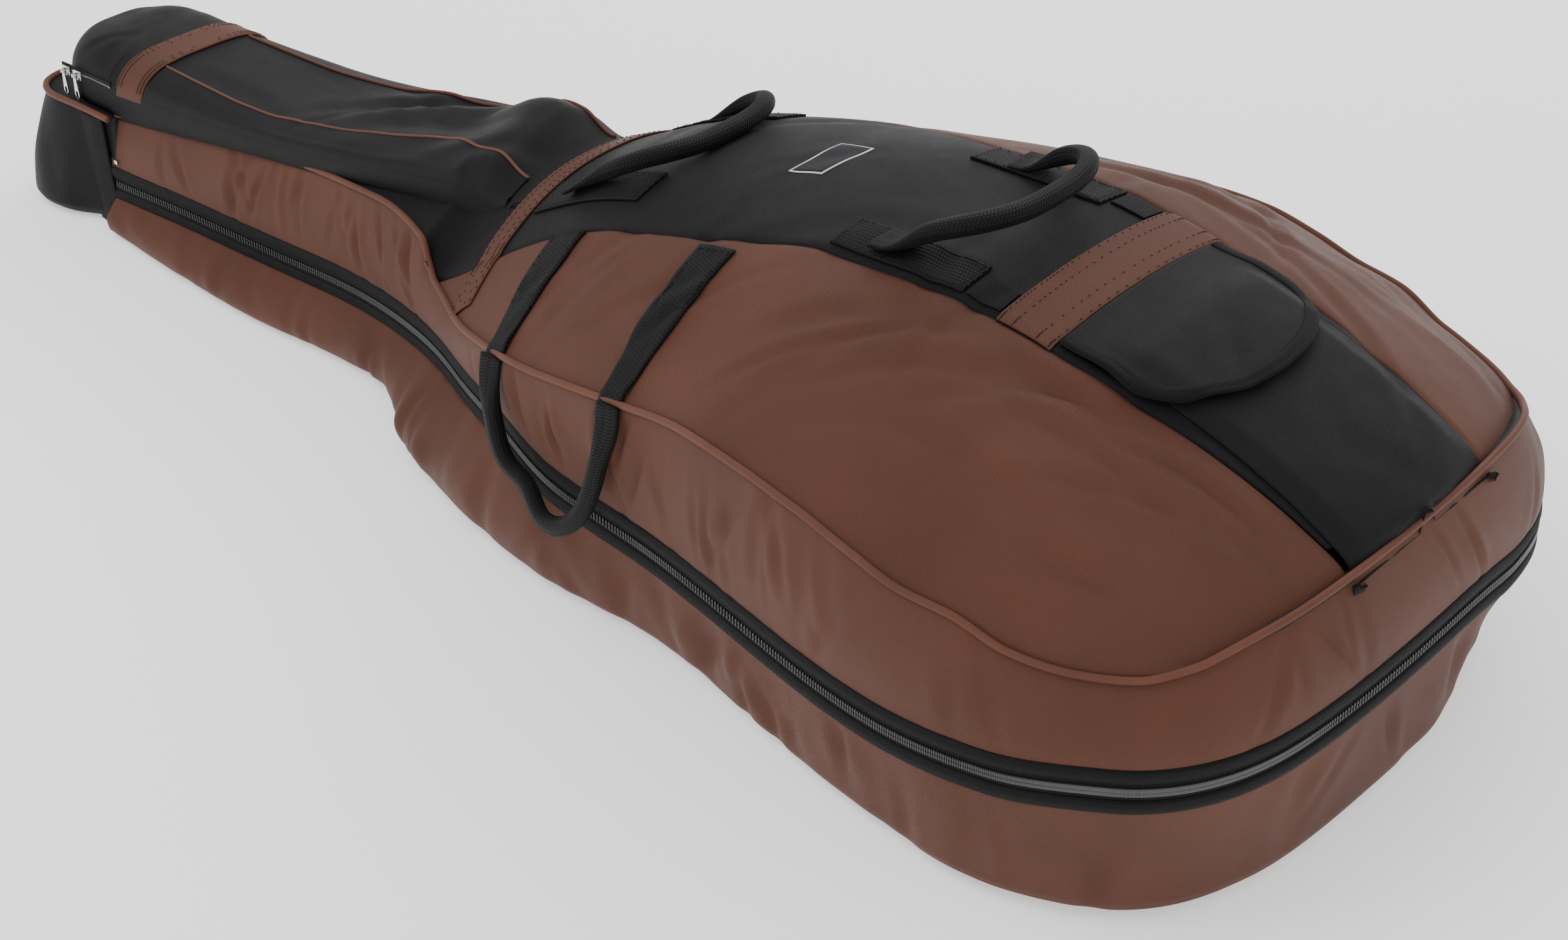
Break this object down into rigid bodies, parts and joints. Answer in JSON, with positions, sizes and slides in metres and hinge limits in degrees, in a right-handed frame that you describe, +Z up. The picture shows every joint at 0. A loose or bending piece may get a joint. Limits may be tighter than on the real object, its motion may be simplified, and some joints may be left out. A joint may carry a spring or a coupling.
{
  "type": "padded gig bag",
  "caption": "Padded instrument gig bag lying on its back, with a wrap-round zip, neck pocket, flap pocket, bands and webbing handles.",
  "frame": {"origin": "centre of the underside, on the surface that the bag lies on", "axes": "+X from the head end to the base end, +Z up from the back to the front, the carrying side faces -Y"},
  "size_m": [1.91, 0.7407, 0.4735],
  "materials": {
    "black_fabric": "twill, soft sheen",
    "brown_fabric": "twill, soft sheen",
    "foam": "closed foam",
    "lining": "smooth woven",
    "webbing": "ribbed webbing",
    "binding": "herringbone tape",
    "zip_coil": "satin nylon",
    "piping": "piped edge",
    "metal": "nickel plated",
    "label": "woven label",
    "hook_loop": "hook and loop"
  },
  "bodies": {
    "base": {"back_panel": "black_fabric", "lower_side_panel": "brown_fabric", "base_foam": "foam", "base_lining": "lining", "lower_zip_tape": "binding", "lower_zip_coil": "zip_coil", "zip_end_stops": "zip_coil", "head_shell": "black_fabric", "head_foam": "foam", "head_piping": "piping", "collar_webbing": "webbing", "pocket_head_end": "black_fabric", "pocket_zip_tape": "binding", "pocket_zip_coil": "zip_coil"},
    "lid": {"upper_zip_tape": "binding", "upper_zip_coil": "zip_coil", "lid_side_panel": "brown_fabric", "front_panel_near": "brown_fabric", "front_panel_far": "brown_fabric", "front_centre_panel": "black_fabric", "lid_foam": "foam", "lid_lining": "lining", "front_piping": "piping", "bow_pocket_shell": "black_fabric", "placket_flap": "black_fabric", "pocket_piping": "piping", "neck_band": "brown_fabric", "shoulder_band": "brown_fabric", "bout_band": "brown_fabric", "label_patch": "label", "top_handle_1_anchors": "webbing", "top_handle_2_anchors": "webbing", "webbing_strips": "webbing", "side_handle_anchors": "webbing", "music_pocket_panel": "black_fabric", "loop_patch": "hook_loop"},
    "flap": {"music_flap": "black_fabric", "flap_binding": "binding", "hook_patch": "hook_loop"},
    "top_handle_1": {"top_handle_1_grip": "webbing"},
    "top_handle_2": {"top_handle_2_grip": "webbing"},
    "side_handle": {"side_handle_grip": "webbing"},
    "pocket_slider_a": {"pocket_slider_head": "metal"},
    "pocket_slider_b": {"pocket_slider_base": "metal"},
    "pocket_pull_a": {"pocket_pull_head": "metal"},
    "pocket_pull_b": {"pocket_pull_base": "metal"},
    "main_slider_a": {"main_slider_head": "metal"},
    "main_slider_b": {"main_slider_base": "metal"},
    "main_pull_a": {"main_pull_head": "metal"},
    "main_pull_b": {"main_pull_base": "metal"}
  },
  "joints": [
    {"name": "lid_fold", "type": "hinge", "parent": "base", "child": "lid", "pos_m": [-0.785, 0, 0.232], "axis": [0, -1, 0], "range_deg": [0, 75]},
    {"name": "flap_lift", "type": "hinge", "parent": "lid", "child": "flap", "pos_m": [0.6367, 0, 0.4014], "axis": [0, -1, 0], "range_deg": [0, 140]},
    {"name": "top_handle_1_swing", "type": "hinge", "parent": "lid", "child": "top_handle_1", "pos_m": [0.06, 0, 0.35662], "axis": [0, -1, 0], "range_deg": [0, 90]},
    {"name": "top_handle_2_swing", "type": "hinge", "parent": "lid", "child": "top_handle_2", "pos_m": [0.455, 0, 0.41778], "axis": [0, -1, 0], "range_deg": [0, 105]},
    {"name": "side_handle_swing", "type": "hinge", "parent": "lid", "child": "side_handle", "pos_m": [0.09, -0.28091, 0.25216], "axis": [-0.9889, 0.1485, 0], "range_deg": [0, 150]},
    {"name": "pocket_slider_a_slide", "type": "slide", "parent": "base", "child": "pocket_slider_a", "axis": [1, 0, 0], "range_m": [0, 0.005]},
    {"name": "pocket_slider_b_slide", "type": "slide", "parent": "base", "child": "pocket_slider_b", "axis": [1, 0, 0], "range_m": [0, 0.048]},
    {"name": "pocket_pull_a_swing", "type": "hinge", "parent": "pocket_slider_a", "child": "pocket_pull_a", "pos_m": [-0.874, -0.10475, 0.188], "axis": [-1, 0, 0], "range_deg": [0, 150]},
    {"name": "pocket_pull_b_swing", "type": "hinge", "parent": "pocket_slider_b", "child": "pocket_pull_b", "pos_m": [-0.851, -0.10475, 0.188], "axis": [-1, 0, 0], "range_deg": [0, 150]},
    {"name": "main_slider_a_slide", "type": "slide", "parent": "base", "child": "main_slider_a", "axis": [-1, 0, 0], "range_m": [0, 0.15]},
    {"name": "main_slider_b_slide", "type": "slide", "parent": "base", "child": "main_slider_b", "axis": [1, 0, 0], "range_m": [0, 0.14]},
    {"name": "main_pull_a_swing", "type": "hinge", "parent": "main_slider_a", "child": "main_pull_a", "pos_m": [-0.57, 0.11775, 0.102], "axis": [1, 0, 0], "range_deg": [0, 150]},
    {"name": "main_pull_b_swing", "type": "hinge", "parent": "main_slider_b", "child": "main_pull_b", "pos_m": [-0.546, 0.11775, 0.102], "axis": [1, 0, 0], "range_deg": [0, 150]}
  ]
}
